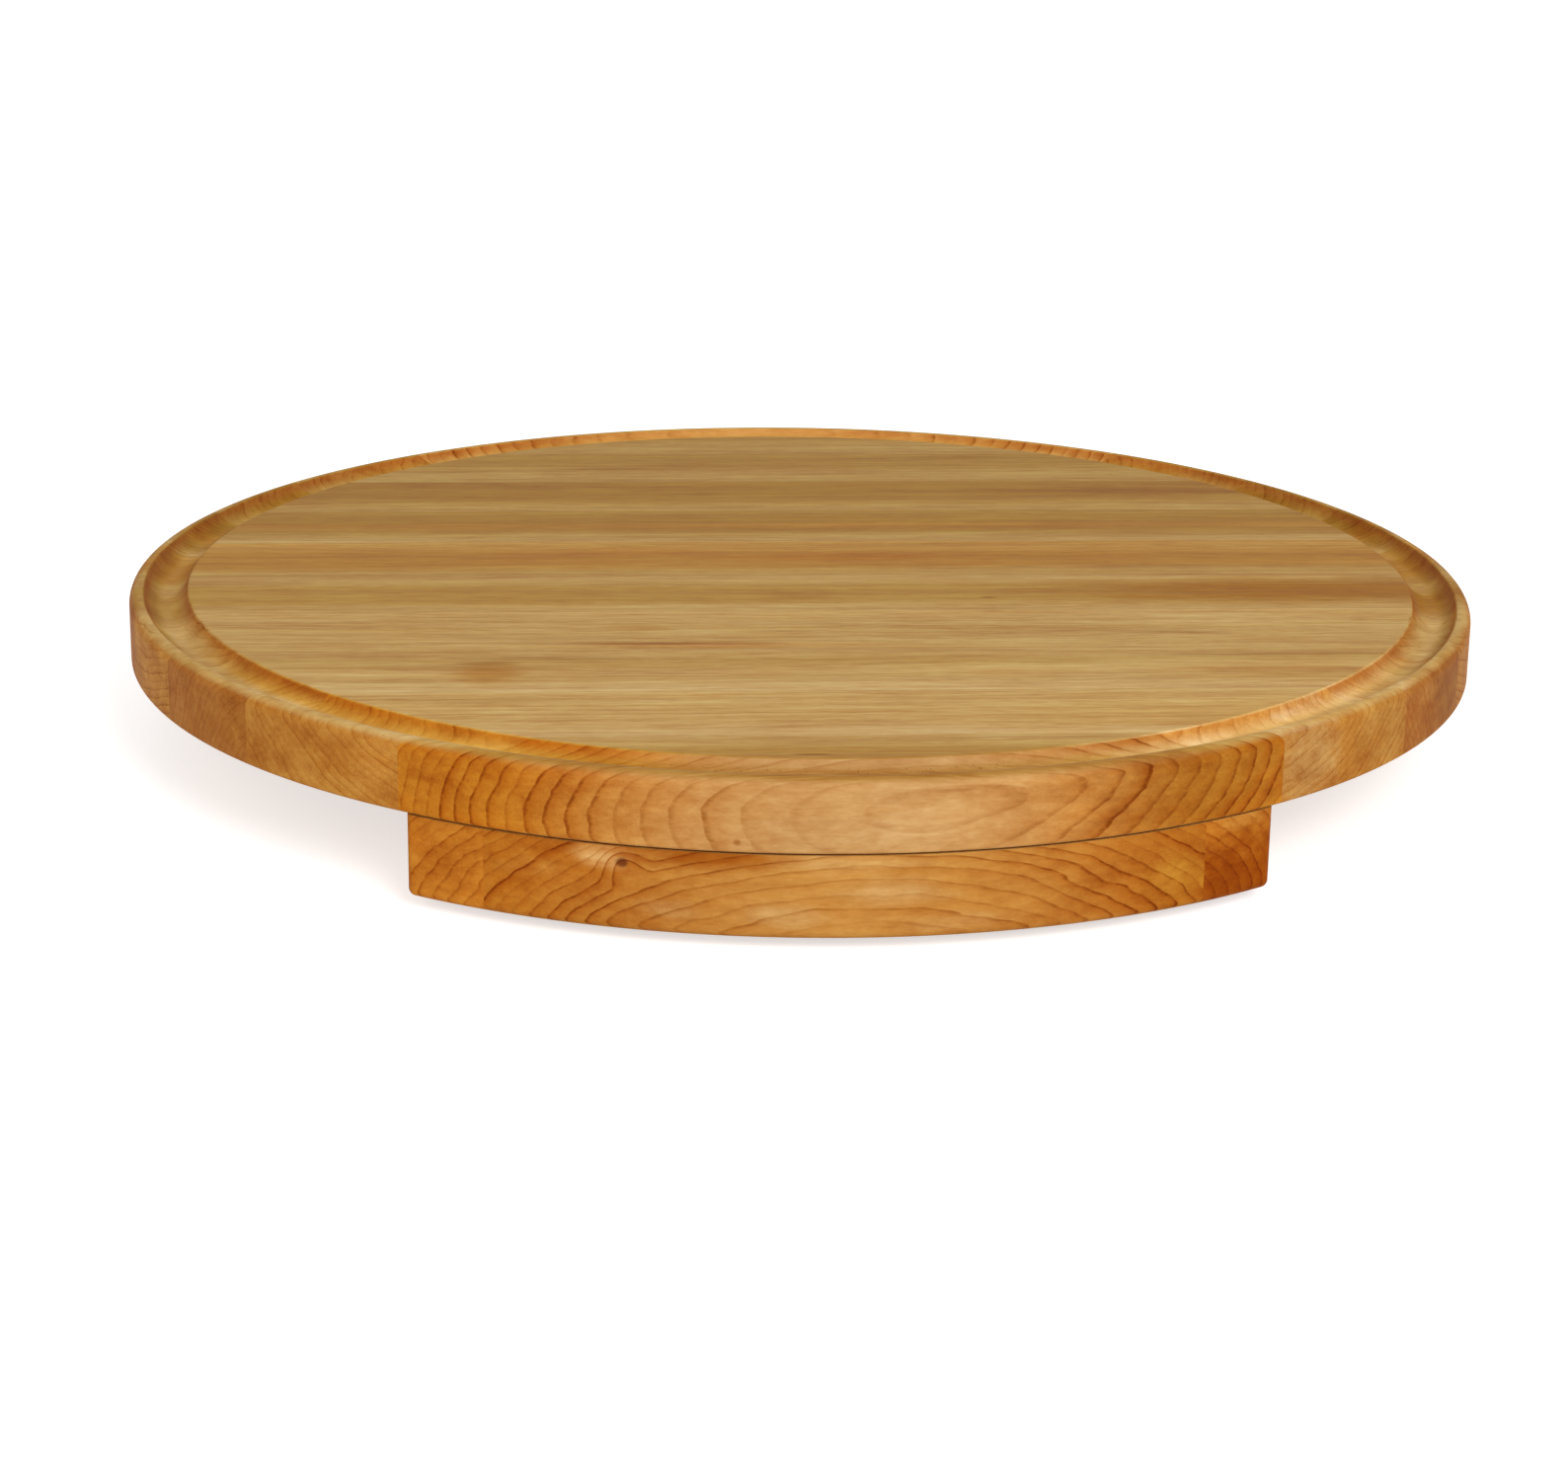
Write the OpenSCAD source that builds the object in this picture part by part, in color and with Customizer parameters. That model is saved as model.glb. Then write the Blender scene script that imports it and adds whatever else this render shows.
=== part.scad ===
// Lazy susan turntable: a round butcher-block board with a juice groove,
// spinning on a square ball-bearing plate that is let into a wooden base.
//
// Millimetres, +Z up. The origin is on the floor, under the middle of the board.
// The staves of the board and of the base run along X. The front faces -Y.

/* [Board] */
// Diameter of the round board
board_d = 457.2; // [440:0.2:520]
// Thickness of the board
board_t = 22.8; // [20:0.1:38]
// Radius of the round-over on the upper rim
rim_round_r = 3.9; // [1:0.1:4.5]
// Radius of the round-over on the lower rim
under_round_r = 1; // [0.5:0.1:5]
// Number of staves in the board
board_staves = 10; // [8:1:12]
// Width of the first stave of the board, at the front
board_front_stave_w = 42; // [25:0.5:60]
// Width of the last stave of the board, at the back
board_back_stave_w = 51.2; // [25:0.1:60]

/* [Juice groove] */
// Width of the groove at the surface of the board
groove_w = 14.7; // [8:0.1:18]
// Depth of the groove
groove_depth = 5; // [3:0.1:7]
// Width of the lip between the groove and the edge of the board
lip_w = 4.9; // [4:0.1:14]
// Width of the bevel that eases both edges of the groove, outside the groove's width
groove_ease = 0.8; // [0.3:0.1:1.5]

/* [Base] */
// Width of the base, between its two flat sides
base_w = 259; // [250:1:330]
// Thickness of the base
base_t = 26; // [24:0.5:45]
// How far the curved faces of the base stand back from the board's edge
base_inset = 1.5; // [0.5:0.1:30]
// Radius of the round-over on the lower edges of the base
base_round_r = 2.4; // [0.5:0.1:3]
// Radius of the round-over on the upper edges of the base
base_top_round_r = 0.8; // [0.3:0.1:2]
// Radius of the upright corners of the base
base_corner_r = 3.2; // [3.2:0.1:8]
// How far outside both faces an upright corner's arc runs out, which leaves a faint crease
corner_crease = 0.05; // [0.03:0.01:0.1]
// Number of staves in the base
base_staves = 11; // [9:1:13]
// Width of the first stave of the base, at the front
base_front_stave_w = 26.8; // [20:0.1:50]
// Width of the last stave of the base, at the back
base_back_stave_w = 17.9; // [12:0.1:50]
// Gap between the base and the board
board_gap = 0.8; // [0.5:0.1:3]

/* [Bearing] */
// Width of the square bearing plates
plate_w = 152; // [110:1:156]
// Corner radius of the bearing plates
plate_corner_r = 8; // [3:0.5:12]
// Height of the whole bearing
bearing_h = 8; // [8:0.1:9]
// Thickness of the plates' sheet
sheet_t = 1.2; // [1:0.1:1.4]
// How far a plate's flat parts run into its pressed ring
sheet_join = 0.3; // [0.1:0.1:0.4]
// Radius of the circle that the balls run on
race_r = 55; // [44:0.5:60]
// Width of the pressed ring that holds the race
race_w = 16; // [15:0.5:18]
// Width of the sloped sides of the pressed ring
race_bend_w = 1.7; // [1.2:0.1:2]
// Diameter of a ball
ball_d = 4.8; // [4.4:0.1:4.8]
// Number of balls
ball_count = 24; // [12:1:30]
// Running clearance between a ball and its races
ball_clear = 0.1; // [0.08:0.01:0.2]
// Clearance between a ball and its pocket in the cage
pocket_clear = 0.15; // [0.1:0.01:0.4]
// Width of the ball cage's ring
cage_w = 10; // [8:0.5:11]
// Thickness of the ball cage
cage_t = 1.6; // [1:0.1:1.6]
// Clearance between the ball cage and the pressed rings
cage_clear = 0.5; // [0.3:0.05:0.7]
// Distance from the race circle in to the outside of the hub tube
hub_step = 15.8; // [15:0.1:20]
// Width of the rolled lip that keeps the two plates together
hub_lip_w = 3.8; // [3:0.1:4]
// How far the underside of the rolled lip lies below the top of the bearing
hub_lip_drop = 3; // [2.6:0.1:3.2]
// Clearance between the hub tube and the upper plate's inner edge
hub_clear = 0.5; // [0.3:0.05:0.8]
// Distance from the hub tube to the step in the upper plate
rim_step = 6.2; // [5.8:0.1:7]
// Play between the rolled lip and the plate that it holds down
hub_play = 0.4; // [0.2:0.05:0.6]
// Distance from the edges of a plate to its screw holes
hole_edge = 7; // [6:0.5:12]
// Clearance round the bearing as it turns in its recess
recess_clear = 4; // [3:0.5:10]
// Diameter of the hole in the base that a screwdriver goes through
access_d = 19; // [12:0.5:22]

/* [Screws] */
// Outer diameter of the screw threads
screw_d = 3.5; // [3:0.1:4]
// Length of a screw below its head
screw_l = 12.7; // [8:0.1:14]
// Diameter of a screw's pan head
head_d = 6.9; // [6:0.1:8]
// Height of a screw's pan head
head_h = 2.2; // [1.6:0.1:2.4]
// Pitch of the thread
thread_pitch = 1.3; // [1:0.1:1.8]
// Depth of the thread
thread_depth = 0.45; // [0.2:0.05:0.7]
// Length of a screw's plain pointed tip
tip_l = 3.5; // [2:0.1:5]
// Width of the cross slot in a screw's head
slot_w = 0.9; // [0.6:0.1:1.2]
// Depth of the cross slot
slot_depth = 1.3; // [0.8:0.1:1.4]
// Radius of the round-over on a screw's head
head_round_r = 1.3; // [0.4:0.1:1.5]
// Room in the wood past a screw's tip
tip_clear = 0.5; // [0.3:0.1:1]
// Clearance between a thread and its hole in the wood
screw_clear = 0.05; // [0.02:0.01:0.2]
// Clearance round a screw where it passes a plate or a foot
pass_clear = 0.35; // [0.2:0.05:0.6]

/* [Feet] */
// Diameter of a rubber foot where it meets the base
foot_d = 20; // [14:0.5:26]
// Height of a rubber foot
foot_h = 4.5; // [4:0.1:8]
// How much the foot narrows towards the floor, on its radius
foot_taper = 1; // [0:0.1:2]
// Size of the bevel round the floor edge of a foot
foot_bevel = 0.8; // [0.3:0.1:1.2]
// Distance from a foot's middle to the flat side of the base
foot_side = 30; // [20:1:50]
// Distance from a foot's middle to the front or the back of the base
foot_end = 57.1; // [40:0.1:110]
// Clearance round and under the head of a foot's screw
foot_head_clear = 1; // [0.5:0.1:1.5]

/* [Hidden] */
$fn = 96;

board_r = board_d / 2;
base_r = board_r - base_inset;
base_l = 2 * base_r;

// Levels
base_z = foot_h;
base_top_z = base_z + base_t;
board_z = base_top_z + board_gap;
board_top_z = board_z + board_t;
bearing_z = board_z - bearing_h;

// The groove is a round-bottomed cut: an arc of radius cove_r
cove_r = (pow(groove_w / 2, 2) + pow(groove_depth, 2)) / (2 * groove_depth);
groove_r = board_r - lip_w - groove_w / 2;
cove_z = board_t - groove_depth + cove_r;
// The rim's round-over ends where the groove's bevel begins
rim_r = min(rim_round_r, lip_w - groove_ease);

// Centre of the arc of an upright corner, and the angle between its two faces' normals
corner_x = base_w / 2 - base_corner_r + corner_crease;
corner_y = sqrt(pow(base_r - base_corner_r + corner_crease, 2) - pow(corner_x, 2));
corner_turn = atan2(corner_y, corner_x);

// Bearing, measured up from the underside of its lower plate
ball_r = ball_d / 2;
ball_z = bearing_h / 2;
race_top = ball_z - cage_t / 2 - cage_clear;
race_bottom = ball_z - ball_r - ball_clear;
race_in = race_r - race_w / 2;
race_out = race_r + race_w / 2;
hub_r = race_r - hub_step;
hole_at = plate_w / 2 - hole_edge;
screw_circle_r = hole_at * sqrt(2);
plate_reach = (plate_w / 2 - plate_corner_r) * sqrt(2) + plate_corner_r;
recess_r = plate_reach + recess_clear;
// The upper plate's inner rim is stepped down under the hub's rolled lip
rim_step_r = hub_r + rim_step;
lip_z = bearing_h - hub_lip_drop;
step_z = lip_z - hub_play - sheet_t;

screw_r = screw_d / 2;
head_r = head_d / 2;
// Depth of the hole that a screw makes below the sheet it holds down
plate_hole_depth = screw_l - sheet_t + tip_clear;

foot_x = base_w / 2 - foot_side;
foot_y = base_r - foot_end;
foot_head_z = head_h + foot_head_clear;
foot_hole_depth = screw_l - (foot_h - foot_head_z) + tip_clear;

// Where n staves begin and end: the first and the last have their own widths, and the rest
// share what is left of the length
function seams(n, length, first, last) = concat(
    -length / 2,
    [for (i = [0:n - 2]) -length / 2 + first + i * (length - first - last) / (n - 2)],
    length / 2
);
function numbered(name, i) = str(name, i < 9 ? "0" : "", i + 1);

board_seams = seams(board_staves, board_d, board_front_stave_w, board_back_stave_w);
base_seams = seams(base_staves, base_l, base_front_stave_w, base_back_stave_w);
FEET = [["front_left", -1, -1], ["front_right", 1, -1], ["back_left", -1, 1], ["back_right", 1, 1]];

BOARD_SHADES = ["#D9A868", "#D6A564", "#D2A063", "#CB9652", "#C99049",
                "#CE9A58", "#BF8643", "#CB9A5E", "#BC8648", "#C9985C"];
BASE_SHADES = ["#CE8D42", "#C4803A", "#CF9349", "#BF7E3C", "#CA8A45", "#C98F4C"];
STEEL = "#B9BDC0";
SCREW_STEEL = "#C8CBCD";

// ---- shared shapes -------------------------------------------------------

// What a round-over of radius r, in three flats, takes off a square corner that points to +X +Y
module corner_waste(r) {
    difference() {
        translate([-r, -r]) square(r + 1);
        translate([-r, -r]) circle(r, $fn = 12);
    }
}

// A slab of wood between two joints, wide enough to span the whole piece
module between_seams(y0, y1) {
    translate([-board_d, y0, 0]) cube([2 * board_d, y1 - y0, board_top_z + 1]);
}

// The four corners of a square pattern
module at_corners(x, y) {
    for (sx = [-1, 1], sy = [-1, 1]) translate([sx * x, sy * y, 0]) children();
}

// The hole that a screw's thread cuts in wood, downwards from the origin
module screw_hole(depth) {
    translate([0, 0, -depth]) cylinder(r = screw_r + screw_clear, h = depth + 1);
}

// A pan-head wood screw, pointing down, with its head standing on the origin
module pan_head_screw() {
    threads = floor((screw_l - tip_l) / thread_pitch);
    root_r = screw_r - thread_depth;
    crests = [for (k = [0:threads - 1], p = [0, 1])
        [p == 0 ? root_r : screw_r, -(k + p / 2) * thread_pitch]];
    difference() {
        rotate_extrude() difference() {
            square([head_r, head_h]);
            translate([head_r, head_h]) corner_waste(head_round_r);
        }
        for (a = [0, 90]) rotate([0, 0, a])
            translate([-head_r / 2, -slot_w / 2, head_h - slot_depth]) cube([head_r, slot_w, head_h]);
    }
    rotate_extrude() polygon(concat([[0, 0]], crests,
        [[root_r, -threads * thread_pitch], [0, -screw_l]]));
}

// ---- board ---------------------------------------------------------------

// Cross-section of the board from its middle to its edge
module board_section() {
    difference() {
        square([board_r, board_t]);
        translate([board_r, board_t]) corner_waste(rim_r);
        translate([board_r, 0]) mirror([0, 1]) corner_waste(under_round_r);
        translate([groove_r, cove_z]) circle(cove_r);
        groove_edge();
        translate([2 * groove_r, 0]) mirror([1, 0]) groove_edge();
    }
}

// The bevel that eases the groove's inner edge and runs on smoothly into its wall
module groove_edge() {
    from = [-groove_w / 2 - groove_ease, board_t - cove_z];
    turn = atan2(from[1], from[0]) + acos(cove_r / norm(from));
    translate([groove_r, cove_z]) polygon([[0, 0], from, cove_r * [cos(turn), sin(turn)]]);
}

module top_stave(i) {
    color(BOARD_SHADES[i % len(BOARD_SHADES)]) difference() {
        intersection() {
            translate([0, 0, board_z]) rotate_extrude($fn = 180) board_section();
            between_seams(board_seams[i], board_seams[i + 1]);
        }
        translate([0, 0, board_z]) at_corners(hole_at, hole_at)
            mirror([0, 0, 1]) screw_hole(plate_hole_depth);
    }
}

// ---- base ----------------------------------------------------------------

// The round block that the base is cut from
module base_blank() {
    rotate_extrude($fn = 180) difference() {
        square([base_r, base_t]);
        outside_edges(base_r);
    }
}

// What is cut off the round block to leave its two flat sides and rounded upright corners
module base_waste() {
    for (mx = [0, 1]) mirror([mx, 0, 0]) {
        translate([0, base_r + 1, 0]) rotate([90, 0, 0])
            linear_extrude(base_l + 2) outside_edges(base_w / 2);
        for (my = [0, 1]) mirror([0, my, 0]) translate([corner_x, corner_y, 0])
            rotate_extrude(angle = corner_turn) outside_edges(base_corner_r);
    }
}

// Section of what is cut away outside a face at x, with its lower and upper edges rounded
module outside_edges(x) {
    translate([x, 0]) mirror([0, 1]) corner_waste(base_round_r);
    translate([x, base_t]) corner_waste(base_top_round_r);
    translate([x, -1]) square([base_r, base_t + 2]);
}

module base_stave(i) {
    color(BASE_SHADES[i % len(BASE_SHADES)]) difference() {
        intersection() {
            translate([0, 0, base_z]) base_blank();
            between_seams(base_seams[i], base_seams[i + 1]);
        }
        translate([0, 0, base_z]) base_waste();
        translate([0, 0, bearing_z]) cylinder(r = recess_r, h = base_t, $fn = 180);
        translate([0, 0, bearing_z]) at_corners(hole_at, hole_at) screw_hole(plate_hole_depth);
        translate([screw_circle_r, 0, 0]) cylinder(d = access_d, h = base_top_z);
        translate([0, 0, base_z]) at_corners(foot_x, foot_y)
            mirror([0, 0, 1]) screw_hole(foot_hole_depth);
    }
}

// ---- bearing -------------------------------------------------------------

// Section of the pressed ring round the race, from the underside of its plate
module race_section() {
    half = race_w / 2;
    crest = half - race_bend_w;
    under_z = race_top - sheet_t;
    difference() {
        translate([race_r, 0]) polygon([
            [-half, 0], [sheet_t / 2 - half, 0],
            [sheet_t / 2 - crest, under_z], [-ball_r - sheet_t, under_z],
            [-ball_r, race_bottom - sheet_t], [ball_r, race_bottom - sheet_t],
            [ball_r + sheet_t, under_z], [crest - sheet_t / 2, under_z],
            [half - sheet_t / 2, 0], [half, 0],
            [half, sheet_t], [crest, race_top],
            [-crest, race_top], [-half, sheet_t]
        ]);
        translate([race_r, ball_z]) circle(ball_r + ball_clear);
    }
}

// The square sheet of a plate outside its race, with its four screw holes
module plate_sheet() {
    linear_extrude(sheet_t) difference() {
        union() {
            square([plate_w, plate_w - 2 * plate_corner_r], center = true);
            square([plate_w - 2 * plate_corner_r, plate_w], center = true);
            for (sx = [-1, 1], sy = [-1, 1])
                translate([sx, sy] * (plate_w / 2 - plate_corner_r)) circle(plate_corner_r);
        }
        circle(race_out - sheet_join);
        for (sx = [-1, 1], sy = [-1, 1])
            translate([sx, sy] * hole_at) circle(screw_r + pass_clear);
    }
}

module bearing_lower_plate() {
    color(STEEL) translate([0, 0, bearing_z]) {
        plate_sheet();
        rotate_extrude() {
            race_section();
            translate([hub_r - sheet_t, 0]) square([race_in + sheet_join - hub_r + sheet_t, sheet_t]);
            translate([hub_r - sheet_t, 0]) square([sheet_t, lip_z + sheet_t]);
            translate([hub_r - sheet_t, lip_z]) square([hub_lip_w + sheet_t, sheet_t]);
        }
    }
}

module bearing_upper_plate() {
    wall_h = bearing_h - step_z;
    color(STEEL) translate([0, 0, bearing_z + bearing_h]) mirror([0, 0, 1]) {
        plate_sheet();
        rotate_extrude() {
            race_section();
            translate([rim_step_r - sheet_t, 0])
                square([race_in + sheet_join - rim_step_r + sheet_t, sheet_t]);
            translate([rim_step_r - sheet_t, 0]) square([sheet_t, wall_h]);
            translate([hub_r + hub_clear, wall_h - sheet_t])
                square([rim_step - hub_clear, sheet_t]);
        }
    }
}

module ball_cage() {
    color("#E9E6DC") translate([0, 0, bearing_z + ball_z]) difference() {
        rotate_extrude() translate([race_r - cage_w / 2, -cage_t / 2]) square([cage_w, cage_t]);
        at_balls() translate([0, 0, -cage_t]) cylinder(r = ball_r + pocket_clear, h = 2 * cage_t);
    }
}

module at_balls() {
    for (k = [0:ball_count - 1]) rotate([0, 0, k * 360 / ball_count])
        translate([race_r, 0, 0]) children();
}

module bearing_balls() {
    color("#D5D8DA") translate([0, 0, bearing_z + ball_z]) at_balls() sphere(ball_r, $fn = 32);
}

// ---- screws and feet -----------------------------------------------------

module lower_plate_screws() {
    color(SCREW_STEEL) translate([0, 0, bearing_z + sheet_t])
        at_corners(hole_at, hole_at) pan_head_screw();
}

module upper_plate_screws() {
    color(SCREW_STEEL) translate([0, 0, board_z - sheet_t])
        at_corners(hole_at, hole_at) mirror([0, 0, 1]) pan_head_screw();
}

module foot_screws() {
    color(SCREW_STEEL) translate([0, 0, foot_head_z])
        at_corners(foot_x, foot_y) mirror([0, 0, 1]) pan_head_screw();
}

module rubber_foot(sx, sy) {
    top_r = foot_d / 2;
    floor_r = top_r - foot_taper;
    color("#2A2A2A") translate([sx * foot_x, sy * foot_y, 0]) rotate_extrude() difference() {
        polygon([[0, 0], [floor_r - foot_bevel, 0], [floor_r, foot_bevel],
                 [top_r, foot_h], [0, foot_h]]);
        square([head_r + foot_head_clear, foot_head_z]);
        square([screw_r + pass_clear, foot_h]);
    }
}

for (i = [0:board_staves - 1])
    top_stave(i);
for (i = [0:base_staves - 1])
    base_stave(i);
for (f = FEET)
    rubber_foot(f[1], f[2]);
bearing_upper_plate();
bearing_lower_plate();
ball_cage();
bearing_balls();
upper_plate_screws();
lower_plate_screws();
foot_screws();
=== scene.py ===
import math

import bpy
import numpy as np
from mathutils import Matrix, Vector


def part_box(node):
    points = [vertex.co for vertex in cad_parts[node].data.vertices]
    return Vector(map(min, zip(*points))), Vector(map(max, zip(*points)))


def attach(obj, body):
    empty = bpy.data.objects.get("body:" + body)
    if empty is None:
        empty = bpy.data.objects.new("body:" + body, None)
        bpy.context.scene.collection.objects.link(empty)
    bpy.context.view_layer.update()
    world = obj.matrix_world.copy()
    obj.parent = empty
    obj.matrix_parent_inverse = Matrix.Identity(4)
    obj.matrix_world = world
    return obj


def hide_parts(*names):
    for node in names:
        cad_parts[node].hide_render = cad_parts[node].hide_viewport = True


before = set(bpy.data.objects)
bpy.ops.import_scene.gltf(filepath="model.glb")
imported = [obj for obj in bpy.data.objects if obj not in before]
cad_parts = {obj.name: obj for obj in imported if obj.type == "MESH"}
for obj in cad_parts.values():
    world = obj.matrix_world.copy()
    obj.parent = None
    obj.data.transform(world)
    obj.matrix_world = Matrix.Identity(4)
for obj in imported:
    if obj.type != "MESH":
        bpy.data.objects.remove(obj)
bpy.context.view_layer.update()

MM = 0.001


# ---------------------------------------------------------------- sizes, in millimetres

def extent(node, axis):
    """The two ends of a CAD node's box along one axis."""
    return [round(corner[axis] / MM, 1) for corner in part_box(node)]


def middle(node, axis):
    """The middle of a CAD node's box along one axis."""
    return round(sum(corner[axis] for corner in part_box(node)) / 2 / MM, 1)


def seams(staves, radius):
    """The front end of a row of staves, the joints between them, and its back end."""
    return [-radius] + [extent(stave, Y)[1] for stave in staves[:-1]] + [radius]


X, Y, Z = range(3)
BOARD_STAVES = [f"top_stave_{number:02d}" for number in range(1, 11)]
BASE_STAVES = [f"base_stave_{number:02d}" for number in range(1, 12)]

BOARD_R = 228.6
BOARD_BOTTOM, BOARD_TOP = extent("top_stave_05", Z)
RIM_ROUND = 3.9
UNDER_ROUND = 1.0
GROOVE_R = 216.35       # where the groove is deepest
RIM_START = 224.7       # where the groove's outer edge ends and the rim is flat
COVE_R = 7.902          # the round of the groove's bottom, and the height of its centre
COVE_Z = 57.0
INNER_EASE = 1.25       # the rounds of the groove's two edges
OUTER_EASE = 1.0

BASE_R = 227.1          # of the curved front and back
BASE_HALF = 129.5
BASE_BOTTOM, BASE_TOP = extent("base_stave_05", Z)
BASE_CORNER = 3.2
BASE_FOOT_ROUND = 2.4
BASE_TOP_EASE = 0.4
RECESS_R = 108.17       # the round recess for the bearing
RECESS_FLOOR = 23.3
ACCESS_X = 97.58        # the hole through which a screwdriver reaches the upper plate
ACCESS_R = 9.5

FOOT_HOLE_R = 2.2
FOOT_RECESS_R = 4.45    # the recess for the head of the foot's screw
FOOT_RECESS_TOP = 3.2

BOARD_SEAMS = seams(BOARD_STAVES, BOARD_R)
BASE_SEAMS = seams(BASE_STAVES, BASE_R)

SUPPORT = 0.35          # width of the strip that keeps a flat face flat beside a round-over
CREASE = 25             # degrees between two faces from which their edge is sharp
BOARD_STEP = 0.9        # between stations round the board's curved part, measured across the staves
LEAST_STEPS = 8         # of any arc along a seam or round the recess
RECESS_STEP = 2         # degrees
WALL_STEPS = 56         # along a stave's share of the base's curved wall
CORNER_STEPS = 10
HOLE_STEPS = 64         # all the way round the access hole
FOOT_STEPS = 72         # all the way round a foot


# ---------------------------------------------------------------- surfaces

def arc(centre, radius, start, end, steps):
    """Points on a circle as its angle goes from start to end in degrees."""
    angle = np.radians(np.linspace(start, end, steps + 1))
    return np.stack([centre[0] + radius * np.cos(angle), centre[1] + radius * np.sin(angle)], 1)


def grid_faces(rows, columns, first, turned=False):
    """Four-cornered faces over a grid whose points are numbered row by row."""
    corner = first + (np.arange(rows - 1)[:, None] * columns + np.arange(columns - 1)).ravel()
    quads = np.stack([corner, corner + columns, corner + columns + 1, corner + 1], 1)
    return quads[:, ::-1] if turned else quads


class Shell:
    """A closed surface gathered from grids and flat faces. Each point knows which way it faces."""

    def __init__(self):
        self.points, self.facing, self.faces, self.smooth, self.count = [], [], [], [], 0

    def add_points(self, points, facing):
        points = np.reshape(np.asarray(points, float), (-1, 3))
        first = self.count
        self.points.append(points)
        self.facing.append(np.broadcast_to(np.reshape(facing, (-1, 3)), points.shape))
        self.count += len(points)
        return first

    def grid(self, points, facing, turned=False, smooth=True):
        """Faces over an array of points, rows by columns."""
        rows, columns = points.shape[:2]
        first = self.add_points(points, facing)
        quads = grid_faces(rows, columns, first, turned)
        self.faces += quads.tolist()
        self.smooth += [smooth] * len(quads)

    def flat(self, loop, facing):
        """One flat face round a loop of points."""
        first = self.add_points(loop, facing)
        self.faces.append(list(range(first, self.count)))
        self.smooth.append(False)

    def flip_front_to_back(self):
        """y becomes -y, and every face is turned over so that it still points outwards."""
        self.points = [p * (1, -1, 1) for p in self.points]
        self.facing = [f * (1, -1, 1) for f in self.facing]
        self.faces = [f[::-1] for f in self.faces]

    def piece(self, name, body, nodes, finish):
        """Makes the piece, with points that are equal to a thousandth of a millimetre merged into one."""
        points = np.concatenate(self.points)
        facing = np.concatenate(self.facing)
        rounded = np.round(points, 3) + 0.0
        _, first, number = np.unique(rounded, axis=0, return_index=True, return_inverse=True)
        number = number.ravel()
        faces, smooth = [], []
        for face, soft in zip(self.faces, self.smooth):
            loop = number[face]
            loop = loop[loop != np.roll(loop, 1)].tolist()
            if len(loop) > 2:
                faces.append(loop)
                smooth.append(soft)
        mesh = bpy.data.meshes.new(name)
        mesh.from_pydata((points[first] * MM).tolist(), [], faces)
        mesh.polygons.foreach_set("use_smooth", smooth)
        facing_at = mesh.attributes.new("facing", "FLOAT_VECTOR", "POINT")
        facing_at.data.foreach_set("vector", facing[first].ravel())
        mesh.update()
        mesh.set_sharp_from_angle(angle=math.radians(CREASE))
        return placed(mesh, name, body, nodes, finish)


def placed(mesh, name, body, nodes, finish):
    """Puts a mesh into the scene on its body, in place of the CAD nodes that it stands for."""
    thing = bpy.data.objects.new(name, mesh)
    bpy.context.scene.collection.objects.link(thing)
    mesh.materials.append(finish)
    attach(thing, body)
    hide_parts(*nodes)
    return thing


def outward(profile):
    """The way each point of a profile faces: the mean of its two steps, turned a quarter to the left."""
    step = np.diff(profile, axis=0)
    step /= np.linalg.norm(step, axis=1)[:, None]
    step = np.vstack([step[:1], (step[1:] + step[:-1]) / 2, step[-1:]])
    step /= np.linalg.norm(step, axis=1)[:, None]
    return np.stack([-step[:, 1], step[:, 0]], 1)


# ---------------------------------------------------------------- the board

def board_profile():
    """Radius and height, from the flat top out through the groove, over the rim and under to the flat bottom.

    Each edge of the groove is an arc that touches both the flat top and the cove. Its centre lies its own
    radius below the top, and as far from the cove's centre as the two radii added.
    """
    def beside_cove(ease):
        drop = COVE_Z - (BOARD_TOP - ease)
        across = math.sqrt((COVE_R + ease) ** 2 - drop ** 2)
        return across, math.degrees(math.atan2(drop, across))

    inner, inner_turn = beside_cove(INNER_EASE)
    outer, outer_turn = beside_cove(OUTER_EASE)
    runs = [
        [(GROOVE_R - inner - SUPPORT, BOARD_TOP)],
        arc((GROOVE_R - inner, BOARD_TOP - INNER_EASE), INNER_EASE, 90, inner_turn, 6),
        arc((GROOVE_R, COVE_Z), COVE_R, 180 + inner_turn, 360 - outer_turn, 20)[1:],
        arc((GROOVE_R + outer, BOARD_TOP - OUTER_EASE), OUTER_EASE, 180 - outer_turn, 90, 6)[1:],
        arc((BOARD_R - RIM_ROUND, BOARD_TOP - RIM_ROUND), RIM_ROUND, 90, 0, 12),
        [(BOARD_R, BOARD_TOP - RIM_ROUND - SUPPORT), (BOARD_R, BOARD_BOTTOM + UNDER_ROUND + SUPPORT)],
        arc((BOARD_R - UNDER_ROUND, BOARD_BOTTOM + UNDER_ROUND), UNDER_ROUND, 0, -90, 9),
        [(BOARD_R - UNDER_ROUND - SUPPORT, BOARD_BOTTOM)],
    ]
    return np.vstack(runs)


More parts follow.
